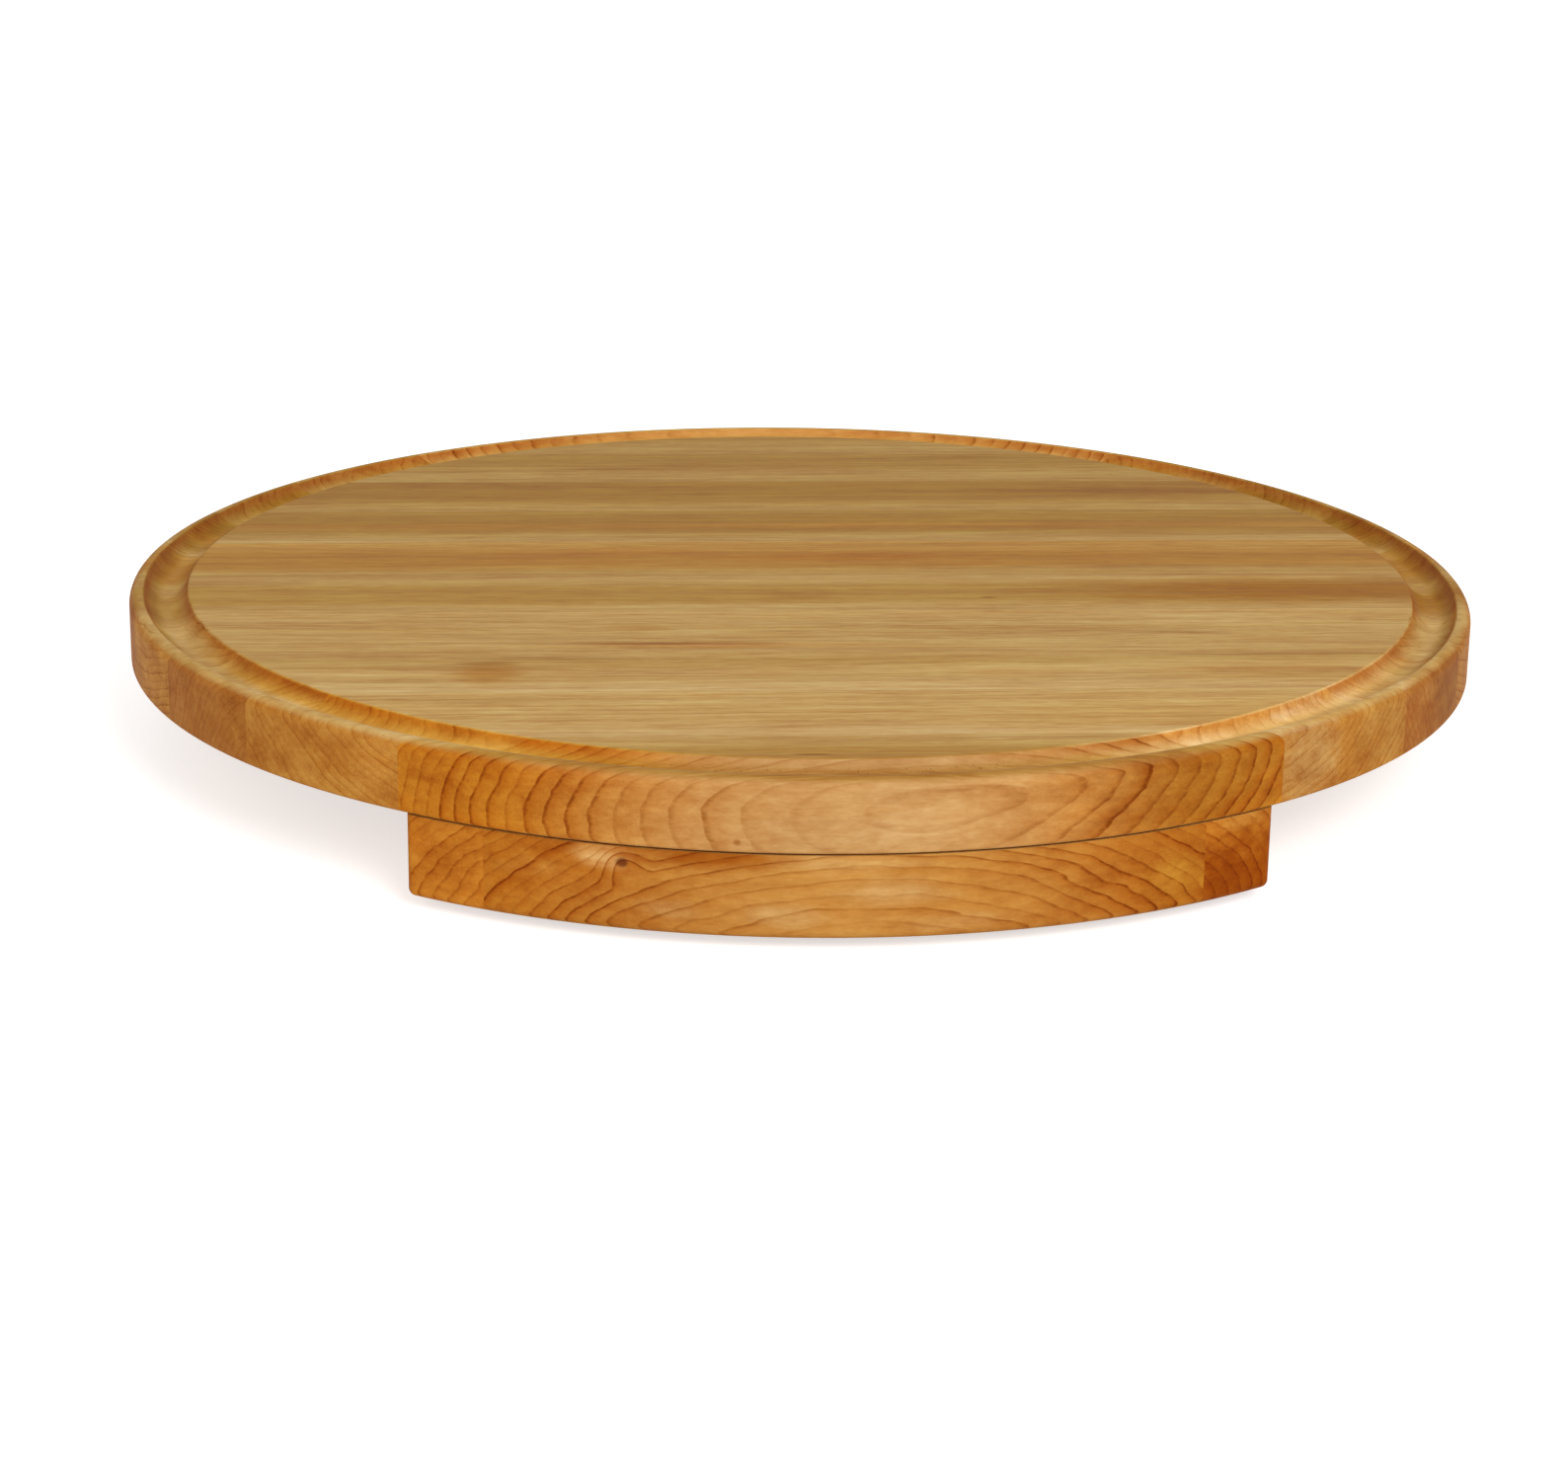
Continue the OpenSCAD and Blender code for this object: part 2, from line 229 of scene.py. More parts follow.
def board_stave(name, near, far, finish):
    """The board between two seams.

    Each point of the profile is carried along the circle of its own radius, from the angle where that circle
    meets the near seam to the angle where it meets the far one. Flat faces close the top, the bottom and the
    seams.
    """
    profile = board_profile()
    radius, height = profile.T
    steps = max(LEAST_STEPS, round(abs(far - near) / BOARD_STEP))
    share = np.linspace(0, 1, steps + 1)
    start = np.arcsin(np.clip(near / radius, -1, 1))[:, None]
    end = np.arcsin(np.clip(far / radius, -1, 1))[:, None]
    turn = start + (end - start) * share
    right = np.stack([radius[:, None] * np.cos(turn), radius[:, None] * np.sin(turn),
                      np.broadcast_to(height[:, None], turn.shape)], 2)
    out = outward(profile)
    facing = np.stack([out[:, :1] * np.cos(turn), out[:, :1] * np.sin(turn),
                       np.broadcast_to(out[:, 1:], turn.shape)], 2)
    left, left_facing = right * (-1, 1, 1), facing * (-1, 1, 1)

    shell = Shell()
    shell.grid(right, facing)
    shell.grid(left, left_facing, turned=True)
    shell.flat(np.vstack([right[0], left[0][::-1]]), (0, 0, 1))
    shell.flat(np.vstack([right[-1], left[-1][::-1]])[::-1], (0, 0, -1))
    if far < BOARD_R:
        shell.flat(np.vstack([left[::-1, -1], right[:, -1]]), (0, 1, 0))
    if near > -BOARD_R:
        shell.flat(np.vstack([left[::-1, 0], right[:, 0]])[::-1], (0, -1, 0))
    shell.piece(name + "_wood", "turntable", [name], finish)


# ---------------------------------------------------------------- the base

def base_levels():
    """How far the wall stands in from the outline, and its height, from the underside up."""
    low = arc((0, 0), BASE_FOOT_ROUND, -90, 0, 8)
    high = arc((0, 0), BASE_TOP_EASE, 0, 90, 5)
    foot_z = BASE_BOTTOM + BASE_FOOT_ROUND
    head_z = BASE_TOP - BASE_TOP_EASE
    inset = np.concatenate([[BASE_FOOT_ROUND + SUPPORT], BASE_FOOT_ROUND - low[:, 0], [0, 0],
                            BASE_TOP_EASE - high[:, 0], [BASE_TOP_EASE + SUPPORT]])
    level = np.concatenate([[BASE_BOTTOM], foot_z + low[:, 1], [foot_z + SUPPORT, head_z - SUPPORT],
                            head_z + high[:, 1], [BASE_TOP]])
    return inset, level


def base_wall(near, far, between=()):
    """The right-hand wall from the near seam to the far one, stations by levels, and the way it faces.

    The front follows the base's big circle less the inset, a small arc turns the corner, and the side is
    straight, with more stations wherever between says.
    """
    inset, level = base_levels()
    corner_x = BASE_HALF - BASE_CORNER
    corner_y = -math.sqrt((BASE_R - BASE_CORNER) ** 2 - corner_x ** 2)
    corner_turn = math.atan2(corner_y, corner_x)
    big = BASE_R - inset
    spots, ways = [], []

    def add(x, y, way_x, way_y):
        x, y, way_x, way_y = np.broadcast_arrays(x, y, way_x, way_y)
        spots.append(np.stack([x, y], 2))
        ways.append(np.stack([way_x, way_y], 2))

    if near < corner_y:
        start = np.arcsin(np.clip(near / big, -1, 1))
        end = np.full(len(big), corner_turn) if far >= corner_y else np.arcsin(np.clip(far / big, -1, 1))
        turn = start + (end - start) * np.linspace(0, 1, WALL_STEPS + 1)[:, None]
        add(big * np.cos(turn), big * np.sin(turn), np.cos(turn), np.sin(turn))
        if far > corner_y:
            turn = np.linspace(corner_turn, 0, CORNER_STEPS + 1)[1:, None]
            small = BASE_CORNER - inset
            add(corner_x + small * np.cos(turn), corner_y + small * np.sin(turn), np.cos(turn), np.sin(turn))
            add(BASE_HALF - inset, np.array([[corner_y + SUPPORT], [far]]), 1.0, 0.0)
    else:
        add(BASE_HALF - inset, np.array(sorted({near, far, *between}))[:, None], 1.0, 0.0)
    spots, ways = np.vstack(spots), np.vstack(ways)
    up = outward(np.stack([-inset, level], 1))[None] * -1
    out, rise = np.abs(up[..., 0]), up[..., 1]
    points = np.dstack([spots, np.broadcast_to(level, spots.shape[:2])])
    facing = np.dstack([ways * out[..., None], np.broadcast_to(rise, spots.shape[:2])])
    return points, facing


def recess_arc(start, end):
    """Points on the recess's edge between two angles, given in degrees."""
    return arc((0, 0), RECESS_R, start, end, max(LEAST_STEPS, round(abs(end - start) / RECESS_STEP)))


def at_height(loop, z):
    return np.column_stack([loop, np.full(len(loop), z)])


def base_stave(name, near, far, finish):
    """The base between two seams: its outer wall, its flat faces, and its share of the bearing's recess.

    A stave behind the middle is made as its mirror image in front of the middle and turned over.
    """
    behind = near + far > 0
    if behind:
        near, far = -far, -near
    crossed = near < -RECESS_R < far
    full = near > -RECESS_R and abs(far) < RECESS_R
    access = full and near < 0 < far
    right, facing = base_wall(near, far, [0.0] if access else [])
    left, left_facing = right * (-1, 1, 1), facing * (-1, 1, 1)
    shell = Shell()
    shell.grid(right, facing)
    shell.grid(left, left_facing, turned=True)
    top_right, top_left = right[:, -1], left[:, -1]
    low_right, low_left = right[:, 0], left[:, 0]
    flip = np.array([-1, 1])

    def inside_wall(edge, low, high):
        """A strip that faces the inside of a round hole, between two heights."""
        centre = np.array([ACCESS_X, 0]) if low < RECESS_FLOOR else np.zeros(2)
        way = centre - edge
        way = np.column_stack([way / np.linalg.norm(way, axis=1)[:, None], np.zeros(len(edge))])
        strip = np.stack([at_height(edge, low), at_height(edge, high)])
        shell.grid(strip, np.stack([way, way]))

    if full:
        turns = np.degrees(np.arcsin(np.array([near, far]) / RECESS_R))
        if access:
            edge = np.vstack([recess_arc(turns[0], 0), recess_arc(0, turns[1])[1:]])
        else:
            edge = recess_arc(*turns)
        inside_wall(edge, RECESS_FLOOR, BASE_TOP)
        inside_wall((edge * flip)[::-1], RECESS_FLOOR, BASE_TOP)
        shell.flat(np.vstack([top_right, at_height(edge[::-1], BASE_TOP)]), (0, 0, 1))
        shell.flat(np.vstack([top_left[::-1], at_height(edge * flip, BASE_TOP)]), (0, 0, 1))
        if access:
            hole = arc((ACCESS_X, 0), ACCESS_R, 0, 360, HOLE_STEPS)
            inside_wall(hole, BASE_BOTTOM, RECESS_FLOOR)
            near_half, far_half = hole[HOLE_STEPS // 2:][::-1], hole[:HOLE_STEPS // 2 + 1][::-1]
            halfway = np.abs(edge[:, 1]).argmin()
            lower, upper = edge[:halfway + 1], edge[halfway:]
            lower_loop = np.vstack([lower, near_half, (lower * flip)[::-1]])
            upper_loop = np.vstack([upper, (upper * flip)[::-1], far_half])
            shell.flat(at_height(lower_loop, RECESS_FLOOR), (0, 0, 1))
            shell.flat(at_height(upper_loop, RECESS_FLOOR), (0, 0, 1))
            stations = low_right[:, :2]
            front, back = stations[:2], stations[1:]
            front_loop = np.vstack([front, near_half, (front * flip)[::-1]])
            back_loop = np.vstack([back, (back * flip)[::-1], far_half])
            shell.flat(at_height(front_loop[::-1], BASE_BOTTOM), (0, 0, -1))
            shell.flat(at_height(back_loop[::-1], BASE_BOTTOM), (0, 0, -1))
        else:
            shell.flat(at_height(np.vstack([edge, (edge * flip)[::-1]]), RECESS_FLOOR), (0, 0, 1))
    elif crossed:
        turn = math.degrees(math.asin(far / RECESS_R))
        edge = recess_arc(-180 - turn, turn)
        inside_wall(edge, RECESS_FLOOR, BASE_TOP)
        shell.flat(np.vstack([top_right, at_height(edge[::-1], BASE_TOP), top_left[::-1]]), (0, 0, 1))
        shell.flat(at_height(edge, RECESS_FLOOR), (0, 0, 1))
    else:
        shell.flat(np.vstack([top_right, top_left[::-1]]), (0, 0, 1))
    if not access:
        shell.flat(np.vstack([low_right, low_left[::-1]])[::-1], (0, 0, -1))

    def seam(y, station, way):
        if abs(y) >= BASE_R:
            return
        loop = [left[station], right[station][::-1]]
        if abs(y) < RECESS_R:
            w = math.sqrt(RECESS_R ** 2 - y ** 2)
            loop.insert(1, np.array([
                (-w, y, BASE_TOP), (-w, y, RECESS_FLOOR), (w, y, RECESS_FLOOR), (w, y, BASE_TOP)]))
        loop = np.vstack(loop)
        shell.flat(loop if way > 0 else loop[::-1], (0, way, 0))

    seam(far, -1, 1)
    seam(near, 0, -1)
    if behind:
        shell.flip_front_to_back()
    shell.piece(name + "_wood", "base", [name], finish)


# ---------------------------------------------------------------- the feet

def rubber_foot(name, finish):
    """A closed profile of radius and height turned round the foot's own axis.

    It goes out along the top, down the tapered side, in along the underside, and up inside the recess.
    """
    profile = np.vstack([
        [(FOOT_HOLE_R, BASE_BOTTOM), (FOOT_RECESS_R, BASE_BOTTOM), (9.75, BASE_BOTTOM)],
        arc((9.7, 4.2), 0.28, 80, 0, 4),
        [(9.2, 1.1)],
        arc((8.1, 0.95), 0.95, -8, -90, 7),
        [(6.2, 0.0)],
        arc((4.95, 0.5), 0.5, -90, -180, 4),
        [(FOOT_RECESS_R, FOOT_RECESS_TOP), (FOOT_HOLE_R, FOOT_RECESS_TOP), (FOOT_HOLE_R, BASE_BOTTOM)]])
    radius, height = profile.T
    turn = np.linspace(0, 2 * np.pi, FOOT_STEPS + 1)[:, None]
    points = np.stack([middle(name, X) + radius * np.cos(turn), middle(name, Y) + radius * np.sin(turn),
                       np.broadcast_to(height, (FOOT_STEPS + 1, len(radius)))], 2)
    shell = Shell()
    shell.grid(points, (0, 0, -1), turned=True)
    shell.piece(name + "_rubber", "base", [name], finish)


# ---------------------------------------------------------------- finishes

class Value:
    """A number, colour or shader that a node gives. Arithmetic with it adds Math nodes to its tree."""

    def __init__(self, nodes, socket):
        self.nodes, self.socket = nodes, socket

    def __add__(self, other):
        return self.nodes.math("ADD", self, other)

    __radd__ = __add__

    def __sub__(self, other):
        return self.nodes.math("SUBTRACT", self, other)

    def __rsub__(self, other):
        return self.nodes.math("SUBTRACT", other, self)

    def __mul__(self, other):
        return self.nodes.math("MULTIPLY", self, other)

    __rmul__ = __mul__

    def __truediv__(self, other):
        return self.nodes.math("DIVIDE", self, other)

    def __pow__(self, other):
        return self.nodes.math("POWER", self, other)


class Nodes:
    """A tree of nodes being written. The method node adds each one, and values do arithmetic."""

    def __init__(self, tree):
        self.tree = tree
        tree.nodes.clear()

    def node(self, kind, settings=(), sockets=(), out=0):
        """Adds a node of any kind, with its settings, a ramp's stops, and each socket's value or link."""
        made = self.tree.nodes.new("ShaderNode" + kind)
        for key, value in dict(settings).items():
            if key == "stops":
                ramp = made.color_ramp
                while len(ramp.elements) < len(value):
                    ramp.elements.new(0.5)
                for element, (position, colour) in zip(ramp.elements, value):
                    element.position, element.color = position, colour
            else:
                setattr(made, key, value)
        for key, value in dict(sockets).items():
            self.join(made.inputs[key], value)
        return Value(self, made.outputs[out]) if made.outputs else made

    def beside(self, value, out):
        """Another output of the node that a value comes from."""
        return Value(self, value.socket.node.outputs[out])

    def join(self, socket, value):
        if isinstance(value, Value):
            self.tree.links.new(value.socket, socket)
        else:
            socket.default_value = value

    def math(self, operation, *values, clamp=False):
        return self.node("Math", {"operation": operation, "use_clamp": clamp}, enumerate(values))

    def root(self, value):
        return self.math("SQRT", value)

    def floor(self, value):
        return self.math("FLOOR", value)

    def size(self, value):
        return self.math("ABSOLUTE", value)

    def least(self, a, b):
        return self.math("MINIMUM", a, b)

    def rise(self, value, low, high, bottom=0.0, top=1.0):
        """Goes smoothly from bottom to top as value goes from low to high."""
        ends = {"From Min": low, "From Max": high, "To Min": bottom, "To Max": top}
        return self.node("MapRange", {"interpolation_type": "SMOOTHSTEP"}, {"Value": value, **ends})

    def mix(self, factor, first, second, blend="MIX"):
        """Two colours mixed; by number, because the Mix node's sockets for each type share their names."""
        settings = {"data_type": "RGBA", "blend_type": blend}
        return self.node("Mix", settings, {0: factor, 6: first, 7: second}, 2)

    def tint(self, colour, factor, by):
        """The colour, multiplied by another one as far as the factor says."""
        return self.mix(factor, colour, by, "MULTIPLY")

    def vector(self, x, y, z):
        return self.node("CombineXYZ", (), {0: x, 1: y, 2: z}, "Vector")

    def chance(self, number):
        return self.node("TexWhiteNoise", {"noise_dimensions": "1D"}, {"W": number}, "Value")

    def parts(self, vector):
        first = self.node("SeparateXYZ", (), {0: vector})
        return [self.beside(first, i) for i in range(3)]

    def seen_white(self):
        """1 for a ray from the camera, from a glossy surface or through a clear one, and 0 for any other."""
        rays = self.node("LightPath", out="Is Camera Ray")
        glossy = rays + self.beside(rays, "Is Glossy Ray")
        return self.math("ADD", glossy, self.beside(rays, "Is Transmission Ray"), clamp=True)


class Finish(Nodes):
    """A material being written: one Principled shader and whatever feeds it."""

    def __init__(self, name, **constants):
        self.material = bpy.data.materials.new(name)
        self.material.use_nodes = True
        super().__init__(self.material.node_tree)
        self.shader = self.principled(constants)
        self.output = self.node("OutputMaterial", (), {"Surface": self.shader})
        self.place = self.node("TexCoord", out="Object")

    def principled(self, constants):
        sockets = {socket.replace("_", " "): value for socket, value in constants.items()}
        return self.node("BsdfPrincipled", (), sockets)

    def grains(self, scale, move=(0, 0, 0), detail=2.0, roughness=0.5, of=None):
        """Cloudy noise from -0.5 to 0.5, with its size in millimetres along each axis.

        It lies in the place on the piece, which is in metres, or in a vector of millimetres.
        """
        unit = 1.0 if of else MM
        spread = self.node("Mapping", (), {
            "Vector": of or self.place, "Location": move, "Scale": [1 / (unit * s) for s in scale]})
        cloud = self.node("TexNoise", (), {
            "Vector": spread, "Scale": 1.0, "Detail": detail, "Roughness": roughness})
        return cloud - 0.5

    def own(self, name):
        """An attribute that the piece's own mesh carries."""
        return self.node("Attribute", {"attribute_name": name}, (), "Vector")

    def relief(self, height, strength, depth):
        sockets = {"Height": height, "Strength": strength, "Distance": depth * MM}
        self.feed("Normal", self.node("Bump", (), sockets, "Normal"))

    def feed(self, socket, value):
        self.join(self.shader.socket.node.inputs[socket], value)


def paint(red, green, blue):
    """A display colour from 0 to 255 as the light that it stands for."""
    c = np.array([red, green, blue]) / 255
    c = np.where(c <= 0.04045, c / 12.92, ((c + 0.055) / 1.055) ** 2.4)
    return (*c.tolist(), 1.0)


OIL_SHINE = 0.04                        # how much light the oiled wood mirrors

# Tints: each multiplies the colour that is there, and its last number is the colour's alpha.
AMBER_FIBRE = (0.97, 0.84, 0.62, 1)
WARM_CLOUD = (0.93, 0.76, 0.48, 1)
RING_SHADE = (0.84, 0.65, 0.40, 1)
RING_LINE = (0.57, 0.40, 0.22, 1)
KNOT_RING = (0.80, 0.56, 0.30, 1)
KNOT_HEART = (0.30, 0.17, 0.10, 1)
# painted sheen: makes the groove's bottom paler and whiter
PAINTED_SHEEN_GROOVE_BOTTOM = (1.16, 1.20, 1.26, 1)
INNER_WALL_LEFT = (1.06, 0.88, 0.40, 1)
# painted highlight: makes the groove's inner wall paler and whiter at the front right
PAINTED_HIGHLIGHT_INNER_WALL_RIGHT = (1.34, 1.44, 1.75, 1)
# painted shade: makes the groove's outer wall darker and duller at the left and right
PAINTED_SHADE_OUTER_WALL_SIDES = (0.84, 0.80, 0.58, 1)
# painted light: makes the groove's outer wall paler at the back
PAINTED_LIGHT_OUTER_WALL_BACK = (1.33, 1.34, 1.42, 1)
TORN_GRAIN = (0.50, 0.36, 0.22, 1)
FLECK = (0.50, 0.34, 0.24, 1)
GLUE_LINE = (0.55, 0.40, 0.26, 1)


class Maple(Finish):
    """Oiled hard maple for one stave, worked out in three dimensions in millimetres, so that its faces agree.

    cut goes from 0 on a face along the grain to 1 on one across it, upper is 1 on a face that looks up, and
    fibres says how well the long fibres show.
    """

    def __init__(self, name, seed):
        super().__init__(name, Specular_IOR_Level=OIL_SHINE)
        self.seed = seed
        self.shift = (seed * 3.7, seed * 5.3, seed * 2.9)
        self.x, self.y, self.z = (part * (1 / MM) for part in self.parts(self.place))
        self.out_x, self.out_y, self.up = self.parts(self.own("facing"))
        self.cut = self.rise(self.size(self.out_x), 0.03, 0.47)
        self.upper = self.rise(self.up, 0.5, 0.97)
        self.fibres = (1.0 - self.cut) * (self.upper * 0.8 + 0.2)

    def grow_rings(self, pith, lean, ring, wild, knots):
        """Growth rings as cylinders round the pith, a line along the stave that may lean a little.

        Noise that follows the rings bends them, more where wild is higher, and each knot pushes them aside. A
        ring darkens towards its end, which is its shade, and stops at a thin broken line. Each ring has a
        chance_of_ring of its own, from 0 to 1.
        """
        dy = self.y - pith[0] - self.x * lean[0]
        dz = self.z - pith[1] - self.x * lean[1]
        radius = self.root(dy * dy + dz * dz)
        swing = self.math("ARCTAN2", dz, dy) * 60.0
        ringwise = self.vector(self.x, swing, radius)
        waves = self.grains((130, 22, 42), self.shift, 1.0, 0.45, ringwise)
        self.ripple = self.grains((60, 5, 9), self.shift, 2.0, 0.6, ringwise)
        sweep = self.grains((420, 90, 90), self.shift, 0.0)
        distance = (radius + waves * (self.cut * 4.6 + 1.5) + self.ripple * (self.cut * 1.1 + 0.3)
                    + sweep * 8.0)
        if wild:
            distance = distance + self.grains((34, 9, 16), self.shift, 2.0, 0.6, ringwise) * wild
        for x, z, size, push in knots:
            away = self.root((self.x - x) ** 2.0 + (self.z - z) ** 2.0) * (1 / size)
            distance = distance + self.rise(away, 0.0, 1.0, push, 0.0)
        count = distance * (1 / ring)
        whole = self.floor(count)
        step = count - whole
        self.chance_of_ring = self.chance(whole + self.seed * 11.0)
        self.shade = self.rise(step, 0.1, 0.95) * self.rise(step, 0.93, 1.0, 1.0, 0.0)
        thin = self.rise(step, 0.71, 0.90) * self.rise(step, 0.92, 1.0, 1.0, 0.0)
        broken = self.rise(self.grains((9, 2.0, 2.0), self.shift, 2.0, 0.7), -0.2, 0.16, 0.2, 1.0)
        self.lines = thin * (self.chance_of_ring * 0.75 + 0.25) * broken

    def face_tones(self, near, far, across, end):
        """The upper face goes through its tones from the near seam to the far one. The edge has two tones."""
        share = (self.y - near) * (1 / (far - near))
        drift = self.grains((300, 9, 9), self.shift, 2.0, 0.55)
        top = self.node("ValToRGB", {"stops": across}, {"Fac": share + drift * 0.3}, "Color")
        return self.mix(self.upper, self.mix(self.cut, *end), top)

    def fibre_tones(self, tone):
        """Long fibres along the stave, and pores, clouds and a mottle where it is cut across."""
        cut, fibres, seed = self.cut, self.fibres, self.seed
        bent = self.vector(self.x, self.y + self.grains((130, 26, 40), self.shift, 2.0, 0.5) * 9.0, self.z)
        self.streak = self.grains((95, 2.6, 4.5), self.shift, 3.0, 0.65, bent)
        band = self.grains((170, 8, 11), (seed * 1.3, 2.0, 7.0), 2.0, 0.5, bent)
        self.hair = self.grains((22, 0.6, 0.8), self.shift, 2.0, 0.7, bent)
        dash = self.grains((8, 1.1, 1.2), (seed, 4.0, 1.0), 2.0, 0.7, bent)
        self.pores = self.grains((0.9, 0.9, 0.9), self.shift, 2.0, 0.75)
        cloud = self.grains((26, 13, 10), (3.0, seed * 1.9, 1.0), 3.0, 0.62)
        mottle = self.grains((9, 3, 2.8), (seed, 8.0, 2.0), 3.0, 0.75)
        bright = (1.0 + self.streak * 0.7 * fibres + band * 0.65 * fibres + self.hair * 0.85 * fibres
                  + dash * 0.5 * fibres + self.pores * 0.45 * cut + cloud * (cut * 0.8 + 0.3)
                  + mottle * (1.0 - self.upper) * 0.75)
        warmer = self.node("CombineColor", (), {0: bright ** 0.7, 1: bright ** 1.25, 2: bright ** 1.9})
        tone = self.mix(1.0, tone, warmer, "MULTIPLY")
        amber = self.rise(self.grains((75, 3.5, 6), (seed * 0.7, 3.0, 8.0), 3.0, 0.6, bent), 0.0, 0.22)
        tone = self.tint(tone, amber * fibres * 0.4, AMBER_FIBRE)
        warm = self.rise(self.grains((60, 20, 14), (seed * 2.2, 9.0, seed), 3.0, 0.6), -0.04, 0.30)
        return self.tint(tone, warm * (cut * 0.6 + 0.35), WARM_CLOUD)

    def patch(self, tone, across, spot, where):
        """A soft, ragged oval of another tone: middle, half-lengths, colour and how strong it is."""
        middle_x, middle, half_x, half, colour, strength = spot
        ragged = self.grains((24, 4, 4), (middle_x * 0.1, middle * 0.1, 0.0), 3.0, 0.65)
        out = self.root(((self.x - middle_x) * (1 / half_x)) ** 2.0 + ((across - middle) * (1 / half)) ** 2.0)
        return self.tint(tone, self.rise(out + ragged * 1.1, 0.2, 1.05, strength, 0.0) * where, colour)

    def ring_tones(self, tone, line, plain_line):
        """Colours the rings: strongly where they are cut across, and as plain_line says elsewhere."""
        weight = (self.cut * (0.95 - plain_line) + (1.0 - self.upper) * plain_line + 0.05) * line
        tone = self.tint(tone, self.shade * weight * (self.chance_of_ring * 0.85 + 0.15), RING_SHADE)
        return self.tint(tone, self.least(self.lines * weight * 1.25, 0.95), RING_LINE)

    def knot_heart(self, tone, knot):
        """The brown ring and the dark heart of a knot."""
        x, z, size, _ = knot
        away = self.root(((self.x - x) * 0.8) ** 2.0 + (self.z - z) ** 2.0) * (1 / size) + self.ripple * 0.12
        tone = self.tint(tone, self.rise(away, 0.20, 0.62, 0.5, 0.0), KNOT_RING)
        return self.tint(tone, self.rise(away, 0.08, 0.2, 0.9, 0.0), KNOT_HEART)

    def groove_tones_and_painted_light(self, tone):
        """The groove: painted sheen along its bottom, its inner wall more orange at the front left, painted
        highlight on that wall at the front right, painted shade on its outer wall at the sides and painted
        light on it at the back, and its torn grain in front.
        """
        x, y, z = self.x, self.y, self.z
        reach = self.root(x * x + y * y)
        radial = (x * self.out_x + y * self.out_y) * (1 / GROOVE_R)
        inner = self.rise(radial, 0.12, 0.55) * self.rise(reach, GROOVE_R, GROOVE_R + 1.0, 1.0, 0.0)
        outer = self.rise(radial, -0.12, -0.55)
        low = self.rise(z, 49.5, 51.4, 1.0, 0.0) * self.rise(self.up, 0.7, 0.97)
        in_front = self.rise(y, -60.0, -130.0)
        # painted sheen along the groove's bottom
        tone = self.tint(tone, low * 0.45, PAINTED_SHEEN_GROOVE_BOTTOM)
        tone = self.tint(tone, inner * in_front * self.rise(x, -30.0, -80.0), INNER_WALL_LEFT)
        # painted highlight on the inner wall at the front right
        tone = self.tint(tone, inner * in_front * self.rise(x, 50.0, 100.0), PAINTED_HIGHLIGHT_INNER_WALL_RIGHT)
        # painted shade on the outer wall at the left and right
        tone = self.tint(tone, outer * self.rise(self.size(y), 70.0, 130.0, 1.0, 0.0), PAINTED_SHADE_OUTER_WALL_SIDES)
        # painted light on the outer wall at the back
        tone = self.tint(tone, outer * self.rise(y, 130.0, 190.0), PAINTED_LIGHT_OUTER_WALL_BACK)
        torn = self.rise(self.grains((1.3, 0.9, 0.9), (9, 4, 2), 1.0, 0.5), 0.14, 0.2)
        torn = torn * self.rise(z, 50.4, 53.0, 1.0, 0.0)
        torn = torn * self.rise(reach, RIM_START, RIM_START + 1.0, 1.0, 0.0)
        return self.tint(tone, torn * self.rise(y, -190.0, -207.0) * 0.5, TORN_GRAIN)

    def flecks(self, tone):
        """Short dark flecks along the stave."""
        self.fleck = self.rise(self.grains((5.5, 0.8, 1.0), self.shift, 1.0, 0.5), 0.22, 0.30)
        return self.tint(tone, self.fleck * (self.cut * 0.35 + self.upper * 0.2), FLECK)

    def glue_lines(self, tone, joints):
        """A fine dark line, here and there, at each joint with a neighbour."""
        seam = self.size(self.y - joints[0])
        for joint in joints[1:]:
            seam = self.least(seam, self.size(self.y - joint))
        shown = self.rise(self.grains((70, 40, 40), (self.seed, 1.0, 6.0), 2.0), -0.15, 0.2, 0.12, 1.0)
        self.glue = self.rise(seam, 0.05, 0.35, 1.0, 0.0) * shown * (self.upper * 0.9 + 0.1)
        return self.tint(tone, self.glue * 0.36, GLUE_LINE)

    def surface(self, tone):
        """The colour, the satin of the oil, and the fine relief of fibres, pores and lines."""
        cut = self.cut
        self.feed("Base Color", tone)
        self.feed("Roughness", 0.50 + cut * 0.08 + self.streak * 0.12 + self.lines * 0.08)
        self.relief(self.hair * 0.35 + self.streak * 0.4 + self.pores * cut * 0.5 - self.lines * 0.4
                    - self.fleck * cut * 0.4 - self.glue * 0.5, 0.35, 0.06)


